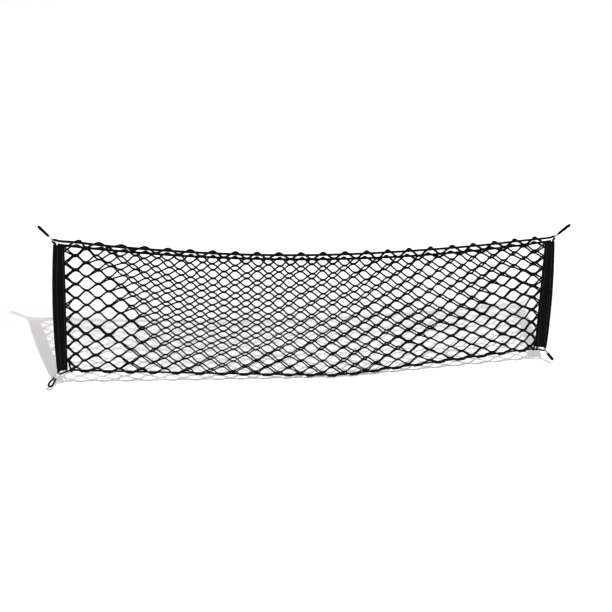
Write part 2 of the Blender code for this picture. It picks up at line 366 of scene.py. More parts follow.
def braid_material(name, light, pitch, strands, roughness, relief, dark=BLACK):
    """Braided yarn: two sets of ridges that cross round a tube."""
    nodes = Nodes(name)
    along, turn = nodes.uv()
    lay = 2 * math.pi / pitch
    round_about = 2 * math.pi * strands
    one = nodes.wave((along, lay), (turn, round_about))
    other = nodes.wave((along, lay), (turn, -round_about))
    braid = nodes.maths("MAXIMUM", one, other)
    wear = nodes.noise(nodes.place(), 60.0)
    tone = nodes.blend((braid, 0.25), start=wear)
    rough = nodes.blend((wear, 0.2), start=roughness - 0.1)
    nodes.look(nodes.ramp(tone, [(0.25, dark), (0.95, light)]), rough, specular=0.025)
    nodes.relief(braid, 0.6, relief)
    return nodes.material


def webbing_material():
    """Ribs across the webbing, and yarns that run along it."""
    nodes = Nodes("black_webbing")
    along, across_it = nodes.uv()
    ribs = nodes.wave((along, 2 * math.pi / RIB_PITCH))
    yarns = nodes.wave((across_it, 2 * math.pi / YARN_PITCH))
    weave = nodes.maths("MULTIPLY", nodes.maths("ADD", ribs, 1.0), nodes.maths("ADD", yarns, 1.3))
    drawn_out = {"X": nodes.maths("MULTIPLY", along, 8.0),
                 "Y": nodes.maths("MULTIPLY", across_it, 260.0)}
    streaks = nodes.noise(nodes.put("ShaderNodeCombineXYZ", drawn_out).outputs[0], 1.0)
    cloud = nodes.noise(nodes.place(), 45.0)
    tone = nodes.blend((weave, 0.07), (streaks, 0.5), (cloud, 0.35))
    colour = nodes.ramp(tone, [(0.25, BLACK), (0.85, (0.004, 0.004, 0.0044))])
    nodes.look(colour, nodes.blend((cloud, 0.2), start=0.68), specular=0.02)
    nodes.relief(weave, 0.5, 0.0002)
    return nodes.material


def metal_material():
    """Bright pressed metal with fine scratches."""
    nodes = Nodes("pressed_metal")
    place = nodes.place()
    stretched = nodes.put("ShaderNodeMapping", {"Vector": place, "Scale": (300.0, 300.0, 2500.0)})
    scratches = nodes.noise(stretched.outputs[0], 1.0)
    dull = nodes.noise(place, 350.0)
    colour = nodes.ramp(dull, [(0.3, (0.34, 0.345, 0.35)), (0.75, (0.58, 0.58, 0.59))])
    nodes.look(colour, nodes.blend((scratches, 0.25), start=0.2), metallic=1.0)
    nodes.relief(scratches, 0.2, 0.00005)
    return nodes.material


def floor_material():
    """Pale paint, a little darker far behind the net, where more light falls on it."""
    nodes = Nodes("pale_floor")
    grain = nodes.noise(nodes.place(), 6.0)
    place = nodes.put("ShaderNodeSeparateXYZ", {"Vector": nodes.place()})
    reach = {"Value": place.outputs["Y"], "From Min": FADE_FROM, "From Max": FADE_TO}
    behind = nodes.put("ShaderNodeMapRange", reach).outputs[0]
    tone = nodes.blend((grain, 0.1), (behind, 0.9))
    nodes.look(nodes.ramp(tone, [(0.0, (0.93, 0.93, 0.93)), (1.0, (0.74, 0.74, 0.74))]), 0.9)
    return nodes.material


# Netting -----------------------------------------------------------------------------------

STRANDS = 19
STRAND_SIDES = 8
COLUMNS = 44  # half pitches: even ones have joints of even rows, odd ones of odd rows
STRAND_HALF = (0.00155, 0.0012)  # in the layer's plane, and across it
LAYER_Y = 0.00125  # half the distance between the middles of the two layers
JOINT_RISE = 0.0008  # from a joint's middle to the middle of each of its two strands
INSIDE_BAND = 0.009  # how far a strand's end reaches on into a band
WRAP_R = {"top": 0.0037, "low": 0.0032}  # from a cord's middle to that of a strand wound on it
TOP_WRAP = {"front_net": 0.0037, "back_net": 0.0031}  # from a cord up to a top strand's crest
LOW_WRAP = 0.0030  # and down to a bottom strand's trough
LOW_TAIL = (0.004, 0.0, 0.024)  # the bottom strand's end runs up beside a band, to its last joint
LOW_APART = 0.004  # the two layers' turns on the bottom cord lie side by side
FLAT_SHARE = 0.11  # of half a pitch, where two strands run side by side
STRAIGHT_SHARE = 0.3  # between a soft bend and a sharp one
SWELL = {"joint": 0.94, "top": 1.35, "low": 1.12}  # a strand's thickness at these, as a share
BACK_TOP = 0.80  # and once more for the back layer's turns on its cord
SWELL_REACH = 0.26  # share of half a pitch over which that fades
SEWN_IN = {0: -0.0028, COLUMNS: 0.0028}  # the outermost joints lie inside the bands
# Where a strand has its points, from a crest to a trough, on the mesh and round a cord
STATIONS = (0.0, 0.12, 0.21, 0.34, 0.5, 0.66, 0.79, 0.88)
WOUND_STATIONS = (0.0, 0.07, 0.14, 0.21, 0.28, 0.35, 0.43, 0.5, 0.57, 0.65, 0.72, 0.79, 0.86, 0.93)
JITTER = (0.0009, 0.0006)  # how unevenly the joints lie, along the net and up
STILL_COLUMNS = 3  # less so this near to a band
LOOSE = 1.3  # and more so in the back layer
TOP_STRAND = 1.14  # the top strand is thicker by this factor
THICKER = [  # strands are thicker by this share, at s, how wide, at v, how deep
    (0.14, 0.60, 0.50, 0.00, 0.35),
    (0.22, 1.00, 0.17, 0.35, 0.45),
    (0.12, 0.93, 0.10, 0.90, 0.20),
    (-0.13, 0.28, 0.22, 0.80, 0.30),
    (0.20, 0.80, 0.25, 0.00, 0.04),
]
TOP_SHIFTS = {1: 0.007}  # a turn on the top cord that has slipped along it, by its column
SEWN_LOWER = (-0.0045, 0.0014)  # the back layer's strands enter the bands lower, not all alike
SEWN_SHARES = (1.0, 0.4)  # in the bands and one column further in
END_RISE = {COLUMNS - 1: 0.0060, COLUMNS: 0.0072}  # the last joints on the right lie higher
END_RISE_AT = (0.57, 0.28)  # most at this v, and how deep
LAYERS = {
    "front_net": {"side": -1, "depth": FRONT_DEPTH, "seed": 3},
    "back_net": {"side": 1, "depth": BACK_DEPTH, "seed": 8},
}

# Where the joints lie: s runs from band to band, and v from the top cord to the bottom one.
# What has "at s, how wide" and "at v, how deep" fades evenly round that place.
STRETCH = 0.10  # the mesh is pulled wider towards +X
SPREAD = (0.034, 0.37)  # and further down it is pulled away from this s
SPREAD_EDGE = 0.04
ROWS = (0.0323, 0.0577, -0.00015)  # v of the first row, its step, and how the step changes
END_DROP = (0.022, 0.05, 0.40)  # rows lie lower at a band: how much, how far in, how far down
SWAYS = [  # rows lie lower by so much, at s and its lean down the net, how wide, at v, how deep
    (-0.0205, 0.10, 0.15, 0.070, 0.35, 0.60),
    (0.0340, 0.70, 0.15, 0.075, 0.50, 0.33),
]
APART = (0.046, 0.60, 2.2)  # the back layer's rows lie lower: how much, and how that fades
PART_LEFT = (0.028, 0.161, 0.0)  # both layers lie alike left of this s, by powers of v
PART_RIGHT = (1.009, -0.114, -0.239)  # and right of this
PART_BLEND = 0.075
PART_FAR = (0.6, 0.22, 0.15)  # this share comes in at once, the rest further on: from, over
BESIDE = (0.16, 0.5, 0.2)  # on the right they are parted by this at least: by, from s, over
BACK_LEFT = (0.0040, 0.11, 0.07)  # the back layer's mesh lies towards +X at this s
BACK_RIGHT = (-0.0045, 0.50, 0.14)  # and towards -X from this s on
BACK_FADE = 0.55  # down to this v
HELD = 0.05  # these shifts and MOVES fade out this near to a band
MOVES = {  # joints lie off by so much towards +X and up, at s, how wide, at v, how deep
    "front_net": [
        (-0.0044, -0.0022, 0.07, 0.05, 0.08, 0.10),
        (-0.0018, 0.0010, 0.13, 0.06, 0.30, 0.22),
        (0.0008, 0.0018, 0.07, 0.05, 0.52, 0.14),
        (-0.0010, 0.0, 0.18, 0.05, 0.50, 0.20),
        (-0.0022, -0.0030, 0.10, 0.06, 0.86, 0.14),
        (0.0, 0.0022, 0.27, 0.07, 0.72, 0.20),
        (0.0022, -0.0018, 0.37, 0.09, 0.33, 0.35),
        (0.0034, -0.0022, 0.455, 0.08, 0.90, 0.20),
        (0.0008, 0.0022, 0.57, 0.06, 0.85, 0.22),
        (0.0012, -0.0008, 0.62, 0.07, 0.35, 0.30),
        (0.0018, -0.0010, 0.70, 0.10, 0.78, 0.20),
        (0.0010, 0.0025, 0.78, 0.05, 0.45, 0.25),
        (-0.0014, -0.0010, 0.90, 0.04, 0.38, 0.20),
    ],
    "back_net": [
        (-0.0026, -0.0046, 0.06, 0.04, 0.09, 0.11),
        (0.0, 0.0018, 0.07, 0.05, 0.50, 0.12),
        (-0.0050, -0.0034, 0.14, 0.09, 0.86, 0.19),
        (-0.0034, 0.0016, 0.27, 0.07, 0.90, 0.18),
        (0.0048, 0.0, 0.23, 0.06, 0.08, 0.22),
        (0.0010, -0.0029, 0.33, 0.08, 0.40, 0.35),
        (-0.0014, 0.0, 0.42, 0.05, 0.06, 0.12),
        (0.0, -0.0012, 0.42, 0.06, 0.65, 0.20),
        (-0.0012, 0.0021, 0.54, 0.08, 0.35, 0.35),
        (-0.0008, 0.0012, 0.55, 0.05, 0.76, 0.16),
        (-0.0018, -0.0018, 0.64, 0.05, 0.67, 0.18),
        (-0.0035, 0.0, 0.70, 0.10, 0.25, 0.35),
        (-0.0022, 0.0030, 0.78, 0.05, 0.46, 0.15),
        (-0.0028, -0.0006, 0.84, 0.09, 0.15, 0.25),
        (0.0030, 0.0020, 0.81, 0.07, 0.77, 0.20),
        (-0.0020, 0.0, 0.93, 0.05, 0.50, 0.40),
        (-0.0020, 0.0030, 0.965, 0.03, 0.48, 0.12),
    ],
}


def seen(x, z, y):
    """Moves a point of the middle plane along the camera's sight line to depth y."""
    share = (y - CAMERA_AT.y) / -CAMERA_AT.y
    return mix(CAMERA_AT.x, x, share), mix(CAMERA_AT.z, z, share)


def clear_of_bands(s, reach):
    return min(s / reach, (1 - s) / reach, 1.0)


def powers(v, factors):
    return sum(factor * v**power for power, factor in enumerate(factors))


def parted(s, v):
    """0 where the two layers lie alike in both lower corners, 1 where they are free."""
    left = s - powers(v, PART_LEFT)
    right = powers(v, PART_RIGHT) - s
    near = min(max(left / PART_BLEND, 0.0), 1.0)
    at_once, start, reach = PART_FAR
    far = at_once * min(max(right / PART_BLEND, 0.0), 1.0)
    far += (1 - at_once) * smooth((right - start) / reach)
    least, start, reach = BESIDE
    return max(min(near, far), least * smooth((s - start) / reach))


def front_level(row, s):
    """How far down a row of the front layer's joints lies, as a share of the height."""
    start, step, bend = ROWS
    v = start + step * row + bend * row**2
    drop, reach, depth = END_DROP
    shift = drop * max(1 - v / depth, 0.0) * (1 - smooth(min(s, 1 - s) / reach))
    for rise, at, lean, wide, middle, deep in SWAYS:
        shift += rise * hump(s, at + lean * v, wide) * hump(v, middle, deep)
    return v + shift


def back_level(row, s):
    v = front_level(row, s)
    gap, fade, power = APART
    return v + gap * (1 - fade * v**power) * parted(s, v)


class Layer:
    """One layer of netting, which knows where each of its joints is."""

    def __init__(self, name):
        self.name = name
        self.side = LAYERS[name]["side"]
        self.depth = LAYERS[name]["depth"]
        chance = np.random.default_rng(LAYERS[name]["seed"])
        self.jitter = chance.normal(size=(STRANDS + 1, COLUMNS + 1, 2)) * JITTER

    def plane_x(self, s, v):
        pull, middle = SPREAD
        spread = pull * v * (s - middle) * clear_of_bands(s, SPREAD_EDGE)
        across_net = s + STRETCH * s * (s - 1) + spread
        x = mix(mix(*NET_EDGES["left_band"], v), mix(*NET_EDGES["right_band"], v), across_net)
        if self.side < 0:
            return x
        left, at, width = BACK_LEFT
        right, start, reach = BACK_RIGHT
        shift = left * hump(s, at, width) + right * smooth((s - start) / reach)
        return x + shift * max(1 - v / BACK_FADE, 0.0) * clear_of_bands(s, HELD)

    def depth_at(self, x, v):
        start = BACK_DROP / NET_HEIGHT if self.side > 0 else 0.0
        down = (v - start) / (1 - start)
        return self.side * (LAYER_Y + bulge(x, down, self.depth))

    def cord(self, x):
        """The middle of the cord that the layer's top strand winds on."""
        if self.side < 0:
            return -bulge(x, 0.0, self.depth), front_cord_z(x)
        return LAYER_Y * 2 + bulge(x, 0.0, self.depth), back_z(x)

    def shaken(self, row, column):
        from_band = min(column, COLUMNS - column)
        if self.side < 0:
            return self.jitter[row, column] * min(from_band, STILL_COLUMNS) / STILL_COLUMNS
        if from_band < len(SEWN_SHARES):
            lower, varied = SEWN_LOWER
            drop = lower + varied * self.jitter[row, column, 1] / JITTER[1]
            return 0.0, drop * SEWN_SHARES[from_band]
        return self.jitter[row, column] * LOOSE

    def joint(self, row, column):
        s = column / COLUMNS
        v = front_level(row, s) if self.side < 0 else back_level(row, s)
        dx, dz = self.shaken(row, column)
        x = self.plane_x(s, v) + dx + SEWN_IN.get(column, 0.0)
        z = mix(top_z(x), low_z(x), v) + dz
        z += END_RISE.get(column, 0.0) * hump(v, *END_RISE_AT)
        for right, up, at, wide, middle, deep in MOVES[self.name]:
            share = hump(s, at, wide) * hump(v, middle, deep) * clear_of_bands(s, HELD)
            x += right * share
            z += up * share
        y = self.depth_at(x, v)
        x, z = seen(x, z, y)
        return Vector((x, y, z))

    def top_turn(self, column):
        x = self.plane_x(column / COLUMNS, 0.0) + self.shaken(STRANDS, column)[0]
        x += TOP_SHIFTS.get(column, 0.0) if self.side < 0 else 0.0
        x, _ = seen(x, 0.0, self.cord(x)[0])
        y, z = self.cord(x)
        return Vector((x, y, z + TOP_WRAP[self.name]))

    def low_turn(self, column):
        x = self.plane_x(column / COLUMNS, 1.0) + self.side * LOW_APART
        x += self.shaken(STRANDS, column)[0]
        return Vector((x, 0.0, low_cord_z(x) - LOW_WRAP))

    def node(self, strand, column):
        """Where a strand has its crest or its trough, and whether it winds on a cord."""
        trough = (strand + column) % 2 == 0
        row = strand if trough else strand - 1
        if row < 0:
            return self.top_turn(column), "top"
        if row > STRANDS - 2:
            return self.low_turn(column), "low"
        rise = JOINT_RISE if trough else -JOINT_RISE
        return self.joint(row, column) + Vector((0, 0, rise)), "joint"


def wave_share(t):
    """The course from crest to trough: level, a bend, a straight slope, a bend, level."""
    t = min(max((t - FLAT_SHARE) / (1 - 2 * FLAT_SHARE), 0.0), 1.0)
    return mix(smooth(t), t, STRAIGHT_SHARE)


def slack(s, v):
    """How thick a strand is there, as a share of its usual thickness."""
    return 1 + sum(by * hump(s, at, wide) * hump(v, middle, deep)
                   for by, at, wide, middle, deep in THICKER)


def wound(point, centre, radius, leg):
    """Leads a strand round a cord whose middle is at centre. leg is -1 before it."""
    off = point.z - centre[1]
    if abs(off) < radius:
        point.y = centre[0] + leg * math.sqrt(radius**2 - off**2)
    return point


def strand_route(layer, strand):
    nodes = [layer.node(strand, column) for column in range(COLUMNS + 1)]
    ends = "top", "low"
    points, swell = [], []
    for column, ((a, kind_a), (b, kind_b)) in enumerate(zip(nodes, nodes[1:])):
        winds = kind_a if kind_a in ends else kind_b if kind_b in ends else None
        for t in WOUND_STATIONS if winds else STATIONS:
            share = wave_share(t)
            point = Vector((mix(a.x, b.x, t), mix(a.y, b.y, share), mix(a.z, b.z, share)))
            if winds:
                leg = 1 if kind_a in ends else -1
                centre = layer.cord(point.x) if winds == "top" else (0.0, low_cord_z(point.x))
                point = wound(point, centre, WRAP_R[winds], leg)
            points.append(point)
            near = kind_a if t < 0.5 else kind_b
            size = mix(SWELL[near], 1.0, smooth(min(t, 1 - t) / SWELL_REACH))
            size *= slack((column + t) / COLUMNS, strand / STRANDS)
            if near == "top" and layer.side > 0:
                size *= BACK_TOP
            swell.append(size * (1.0 if strand else TOP_STRAND))
    (first, first_kind), (last, last_kind) = nodes[0], nodes[-1]
    before = after = Vector((INSIDE_BAND, 0, 0))
    if first_kind == "low":
        before = Vector(LOW_TAIL) * Vector((1, 1, -1))
    if last_kind == "low":
        after = Vector(LOW_TAIL)
    return [first - before, *points, last, last + after], [swell[0], *swell, swell[-1], swell[-1]]


def netting(name, finish):
    layer = Layer(name)
    courses = [strand_route(layer, strand) for strand in range(STRANDS)]
    routes = [course[0] for course in courses]
    swells = [course[1] for course in courses]
    made = add_tubes(f"{name}_strands", routes, STRAND_HALF, STRAND_SIDES, finish, swells=swells)
    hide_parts(name)


# Cords and loops ---------------------------------------------------------------------------

CORD_SIDES = 12
FINE_STEP = 0.005
LOW_THIN = 0.80  # the stretched cord is thinner along the bottom
LOW_THIN_FROM = -0.10  # it gets so from this height down
LOW_THIN_OVER = 0.08


def corner_frame(corner):
    angle = math.radians(corner["aim"])
    place = Vector((corner["at"][0], 0.0, corner["at"][1]))
    aim = Vector((math.cos(angle), 0.0, math.sin(angle)))
    return place, aim, Vector((aim.z, 0.0, -aim.x))


def corner_points(name):
    place, _, run = corner_frame(CORNERS[name])
    return [place + run * along for along in TURN]


def drawn_tight(name, target):
    """A point on the straight line from a corner to the next point of a run."""
    place = corner_frame(CORNERS[name])[0]
    return place + (target - place).normalized() * PULLED[name[:3]]


def tunnel_points(band, stations):
    inward = math.copysign(BAND_T / 2 + FOLD_R, -BANDS[band]["outer_top"][0])
    top, low = BANDS[band]["outer_top"][1], BANDS[band]["outer_low"][1]
    return [Vector((outer_x(band, v) + inward, 0.0, mix(top, low, v))) for v in stations]


def perimeter_route():
    stations = [-LEAD, *[i / BAND_STATIONS for i in range(BAND_STATIONS)], 1 - LAST, 1.0]
    top = [mix(*TOP_RUN, i / TOP_SPANS) for i in range(TOP_SPANS + 1)]
    spans = [i / LOW_SPANS for i in range(1, LOW_SPANS)]
    low = [mix(*LOW_RUN, t) for t in (0.0, NEAR_END, *spans, 1 - NEAR_END, 1.0)]
    top_run = [Vector((x, -bulge(x, 0.0, FRONT_DEPTH), front_cord_z(x))) for x in top]
    low_run = [Vector((x, 0.0, low_cord_z(x))) for x in low]
    return [
        *reversed(tunnel_points("left_band", stations)),
        *corner_points("top_left"),
        drawn_tight("top_left", top_run[0]),
        *top_run,
        drawn_tight("top_right", top_run[-1]),
        *corner_points("top_right"),
        *tunnel_points("right_band", stations),
        *corner_points("low_right"),
        drawn_tight("low_right", low_run[0]),
        *low_run,
        drawn_tight("low_left", low_run[-1]),
        *corner_points("low_left"),
    ]


def back_route():
    places = [mix(*BACK_RUN, i / TOP_SPANS) for i in range(TOP_SPANS + 1)]
    return [Vector((x, LAYER_Y * 2 + bulge(x, 0.0, BACK_DEPTH), back_z(x))) for x in places]


def cords(finish):
    route = smooth_route(perimeter_route(), True, FINE_STEP)
    down = [smooth((LOW_THIN_FROM - point.z) / LOW_THIN_OVER) for point in route]
    swell = [mix(1.0, LOW_THIN, share) for share in down]
    made = add_tubes("perimeter_cord_braid", [route], (CORD_R, CORD_R), CORD_SIDES, finish,
                     closed=True, swells=[swell])
    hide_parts("perimeter_cord")
    route = smooth_route(back_route(), False, FINE_STEP)
    made = add_tubes("back_cord_braid", [route], (CORD_R, CORD_R), CORD_SIDES, finish)
    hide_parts("back_cord")


SLEEVE_START = 0.0024
SLEEVE_END = 0.011
SLEEVE_HALF = (0.0037, 0.0019)
LOOP_GAP = 0.0003  # between the sleeve and the loop's ends
LOOP_STEP = 0.0012
LEG_APART = 0.00205  # from the loop's middle line to a leg at the clip
TIP_SWELL = 0.18  # the cord is thicker where it bends back
TIP_FROM = 0.6  # from this share of the loop's length on
LOOP_SHAPES = {  # the loop's half width, and its cord's thickness as a share of the usual
    "top_left": (0.0034, 1.12),
    "top_right": (0.0034, 1.0),
    "low_right": (0.0021, 1.15),
    "low_left": (0.0034, 0.92),
}
# One half of a loop: the share of its length, and how far off the middle line it is there.
# That is a share of the way from LEG_APART to the half width, or of the half width at the tip.
LEG = [(0.00, 0.0), (0.08, 0.0), (0.40, 0.6), (0.72, 1.0)]
TIP = [(0.90, 0.80), (0.98, 0.42)]


def turned_frame(corner):
    """The corner's place, the loop's direction, its wide side and its thin side."""
    place, aim, run = corner_frame(corner)
    turn = Matrix.Rotation(math.radians(corner["turn"]), 3, aim)
    return place, aim, turn @ run, turn @ aim.cross(run)


def corner_loop(name, corner, finish):
    place, aim, wide, thin = turned_frame(corner)
    widest, thick = LOOP_SHAPES[name]
    start = SLEEVE_END + LOOP_GAP
    length = corner["loop"] - LOOP_R
    half = [(t, mix(LEG_APART, widest, share)) for t, share in LEG]
    half += [(t, widest * share) for t, share in TIP]
    course = [*half, (1.0, 0.0), *[(t, -w) for t, w in reversed(half)]]
    points = [place + aim * (start + t * length) + wide * w for t, w in course]
    route = smooth_route(points, False, LOOP_STEP)
    shares = [((point - place).dot(aim) - start) / length for point in route]
    bent = [smooth((share - TIP_FROM) / (1 - TIP_FROM)) for share in shares]
    swell = [thick * (1 + TIP_SWELL * share) for share in bent]
    made = add_tubes(f"loop_{name}_braid", [route], (LOOP_R, LOOP_R), CORD_SIDES, finish,
                     facing=thin, swells=[swell])
    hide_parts(f"loop_{name}")


# Clips -------------------------------------------------------------------------------------

EYE_R = 0.0035
EYE_BORE = 0.0027
EYE_W = 0.0012
EYE_ROUND = 0.0003
EYE_TURNS = 32
RING_RUN = 0.001  # how far the finish runs on from ring to ring
SLEEVE_SIDES = 28
SLEEVE_POWER = 2.6  # between an oval and a rounded block
LEAST_HALF = 0.00001  # the ends close to a point
SLEEVE_PROFILE = [  # share of the sleeve's length, share of its full section
    (0.00, 0.00),
    (0.00, 0.78),
    (0.02, 0.93),
    (0.06, 1.00),
    (0.26, 1.00),
    (0.32, 0.93),
    (0.38, 1.00),
    (0.60, 1.00),
    (0.66, 0.93),
    (0.72, 1.00),
    (0.94, 1.00),
    (0.98, 0.94),
    (1.00, 0.80),
    (1.00, 0.00),
]


def sleeve_ring(centre, wide, thin, share):
    """A ring between an oval and a block, at a share of the sleeve's full section."""
    half_wide, half_thin = (max(half * share, LEAST_HALF) for half in SLEEVE_HALF)
    made = []
    for k in range(SLEEVE_SIDES):
        angle = 2 * math.pi * k / SLEEVE_SIDES
        c, s = math.cos(angle), math.sin(angle)
        w = math.copysign(abs(c) ** (2 / SLEEVE_POWER), c) * half_wide
        t = math.copysign(abs(s) ** (2 / SLEEVE_POWER), s) * half_thin
        made.append(centre + wide * w + thin * t)
    return made


def ring_coords(at_row, at_column, columns):
    return list(np.stack([at_row * RING_RUN, at_column / columns], axis=2).reshape(-1, 2))


def clip(name, corner, finish):
    """A crimped sleeve on the loop's ends, and its eye round the perimeter cord."""
    place, aim, wide, thin = turned_frame(corner)
    points = []
    for share, size in SLEEVE_PROFILE:
        centre = place + aim * mix(SLEEVE_START, SLEEVE_END, share)
        points.extend(sleeve_ring(centre, wide, thin, size))
    rows = len(SLEEVE_PROFILE)
    index, at_row, at_column = grid_faces(rows, SLEEVE_SIDES, False, True, 0)
    faces = [*index.tolist(), *end_faces(rows, SLEEVE_SIDES, 0)]
    coords = ring_coords(at_row, at_column, SLEEVE_SIDES)
    coords.extend([(0.0, 0.0)] * (2 * SLEEVE_SIDES))

    run = corner_frame(corner)[2]
    up = aim.cross(run)
    r, w = EYE_ROUND, EYE_W / 2
    section = [
        (EYE_BORE, -w + r),
        (EYE_BORE + r, -w),
        (EYE_R - r, -w),
        (EYE_R, -w + r),
        (EYE_R, w - r),
        (EYE_R - r, w),
        (EYE_BORE + r, w),
        (EYE_BORE, w - r),
    ]
    first = len(points)
    for k in range(EYE_TURNS):
        angle = 2 * math.pi * k / EYE_TURNS
        spoke = aim * math.cos(angle) + up * math.sin(angle)
        points.extend(place + spoke * radius + run * along for radius, along in section)
    index, at_row, at_column = grid_faces(EYE_TURNS, len(section), True, True, first)
    faces.extend(index.tolist())
    coords.extend(ring_coords(at_row, at_column, len(section)))

    made = add_mesh(f"clip_{name}_metal", points, faces, coords, finish)
    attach(made, "root")
    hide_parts(f"clip_{name}")


# Bands -------------------------------------------------------------------------------------

SECTION_FLAT = 14  # points across each ply
SECTION_FOLD = 12  # and round the fold
SECTION_BEND = 0.38  # share of half the section that the fold's points take
SECTION_EVEN = 0.85  # the points lie closer together towards the woven edge
BAND_ROWS = 100
WEBBING_RUN = 0.235  # the webbing's length, along which its weave runs
TUNNEL = 0.0034  # half the distance between the plies' middles at the fold's tunnel
PINCH = 0.0029  # and at the stitches
FIELD = 0.0031  # and elsewhere
SEAM_OUTER = 0.0090  # the two stitch lines, from the fold and from the inner edge
SEAM_INNER = 0.0028
SEAM_WIDTH = 0.0012  # how wide a stitch line pulls the plies together
EDGE_BEAD = (0.00025, 0.0009, 0.0008)  # a thicker rib by the woven edge: by, how far in, how wide
EDGE_THIN = (0.55, 0.0008)  # and the edge itself is thinner: to this share, over this width
RIPPLE = 0.0004
RIPPLE_WAVES = (31, 13.7)  # how fast its two waves turn from the top to the bottom
RIPPLE_EDGE = 0.006  # it fades out this near to the fold and to the inner edge
STITCH = 0.0032
STITCH_PITCH = 0.0042
STITCH_MARGIN = 0.006  # the seams stop short of the band's ends
STITCH_RAMP = 0.2  # share of a stitch in which its thread comes up
THREAD_R = 0.00035
THREAD_SIDES = 6
THREAD_SUNK = 0.0003
THREAD_PROUD = 0.0002


def ply_half(from_outer, from_inner):
    """Half the distance between the two plies' middles."""
    near_tunnel = 1 - smooth((from_outer - FOLD_R) / (SEAM_OUTER - FOLD_R))
    half = mix(FIELD, TUNNEL, near_tunnel)
    for distance in (from_outer - SEAM_OUTER, from_inner - SEAM_INNER):
        half -= (FIELD - PINCH) * hump(distance, 0.0, SEAM_WIDTH)
    return half


def half_section(name, v):
    """The length of a ply from the fold to its inner edge, and that of half the fold."""
    flat = abs(inner_x(name, v) - outer_x(name, v)) - BAND_T / 2 - TUNNEL
    return flat, math.pi / 2 * TUNNEL


def band_point(name, v, course):
    """A point in the middle of the webbing. course runs from -1 to 1 round the fold.

    Returns the point, the direction out of the webbing there, and the distance to the
    nearest woven edge.
    """
    sizes = BANDS[name]
    inward = math.copysign(1.0, -sizes["outer_top"][0])
    outer, inner = outer_x(name, v), inner_x(name, v)
    centre = outer + inward * (BAND_T / 2 + TUNNEL)
    flat, arc = half_section(name, v)
    walked = abs(course) * (flat + arc)
    side = math.copysign(1.0, course)
    if walked < arc:
        angle = walked / TUNNEL
        x = centre - inward * TUNNEL * math.cos(angle)
        y = side * TUNNEL * math.sin(angle)
        out = Vector((-inward * math.cos(angle), side * math.sin(angle), 0.0))
    else:
        x = centre + inward * (walked - arc)
        from_outer, from_inner = abs(x - outer), abs(inner - x)
        y = side * ply_half(from_outer, from_inner)
        fast, slow = RIPPLE_WAVES
        wave = math.sin(v * fast + side) * math.sin(v * slow + 2 * side) * RIPPLE
        y += wave * smooth(from_inner / RIPPLE_EDGE) * smooth((walked - arc) / RIPPLE_EDGE)
        out = Vector((0.0, side, 0.0))
    share = (x - outer) / (inner - outer)
    top = mix(sizes["outer_top"][1], sizes["inner_top"][1], share)
    low = mix(sizes["outer_low"][1], sizes["inner_low"][1], share)
    edge = (1 - abs(course)) * (flat + arc)
    return Vector((x, y, mix(top, low, v))), out, edge


def band_section():
    """Courses round the webbing's section: along its outside, then back along its inside."""
    flat = [k / SECTION_FLAT for k in range(SECTION_FLAT)]
    fold = [k / SECTION_FOLD for k in range(SECTION_FOLD)]
    half = [1 - (1 - SECTION_BEND) * t**SECTION_EVEN for t in flat]
    half += [SECTION_BEND * (1 - t) for t in fold]
    whole = [-c for c in half] + [0.0] + list(reversed(half))
    return [(c, 1) for c in whole] + [(c, -1) for c in reversed(whole)]


def half_thickness(edge):
    """Half the webbing's thickness, at a distance from its woven edge."""
    bead, at, wide = EDGE_BEAD
    thinnest, over = EDGE_THIN
    return (BAND_T / 2 + bead * hump(edge, at, wide)) * mix(thinnest, 1.0, smooth(edge / over))


def band(name, finish):
    section = band_section()
    points, widths = [], []
    for i in range(BAND_ROWS + 1):
        v = i / BAND_ROWS
        run = 0.0
        previous = None
        for course, face in section:
            middle, out, edge = band_point(name, v, course)
            point = middle + out * half_thickness(edge) * face
            if previous is not None:
                run += (point - previous).length
            previous = point
            points.append(point)
            widths.append(run)
    columns = len(section)
    index, at_row, at_column = grid_faces(BAND_ROWS + 1, columns, False, True, 0)
    widths = np.asarray(widths).reshape(BAND_ROWS + 1, columns)
    heights = at_row * WEBBING_RUN / BAND_ROWS
    turned = widths[at_row, at_column % columns] + BAND_T * (at_column // columns)
    faces = index.tolist()
    coords = list(np.stack([heights, turned], axis=2).reshape(-1, 2))
    half = columns // 2
    for row in (0, BAND_ROWS):
        for k in range(half - 1):
            near, far = row * columns + k, row * columns + columns - 1 - k
            cap = [near, far, far - 1, near + 1]
            faces.append(cap if row else cap[::-1])
            coords.extend([(0.0, 0.0)] * 4)
    made = add_mesh(f"{name}_webbing", points, faces, coords, finish)
    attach(made, "root")
    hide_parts(name)
    return made


def seam_point(name, v, side, seam):
    """A point of a stitch line in the middle of the webbing, and the direction out of it."""
    width = abs(inner_x(name, v) - outer_x(name, v))
    from_inner = SEAM_INNER if seam == "inner" else width - SEAM_OUTER
    middle, out, _ = band_point(name, v, side * (1 - from_inner / sum(half_section(name, v))))
    return middle, out


def stitches(name, finish):
    """Two lines of stitches on each ply."""
    routes = []
    height = BANDS[name]["outer_top"][1] - BANDS[name]["outer_low"][1]
    count = int((height - 2 * STITCH_MARGIN) / STITCH_PITCH)
    sunk, proud = BAND_T / 2 - THREAD_SUNK, BAND_T / 2 + THREAD_PROUD
    for side, seam in itertools.product((-1, 1), ("outer", "inner")):
        for k in range(count):
            start = STITCH_MARGIN + k * STITCH_PITCH
            a, out_a = seam_point(name, start / height, side, seam)
            b, out_b = seam_point(name, (start + STITCH) / height, side, seam)
            routes.append([
                a + out_a * sunk,
                mix(a, b, STITCH_RAMP) + out_a * proud,
                mix(a, b, 1 - STITCH_RAMP) + out_b * proud,
                b + out_b * sunk,
            ])
    made = add_tubes(f"{name}_stitches", routes, (THREAD_R, THREAD_R), THREAD_SIDES, finish,
                     facing=(1, 0, 0))
    return made


# Stage -------------------------------------------------------------------------------------

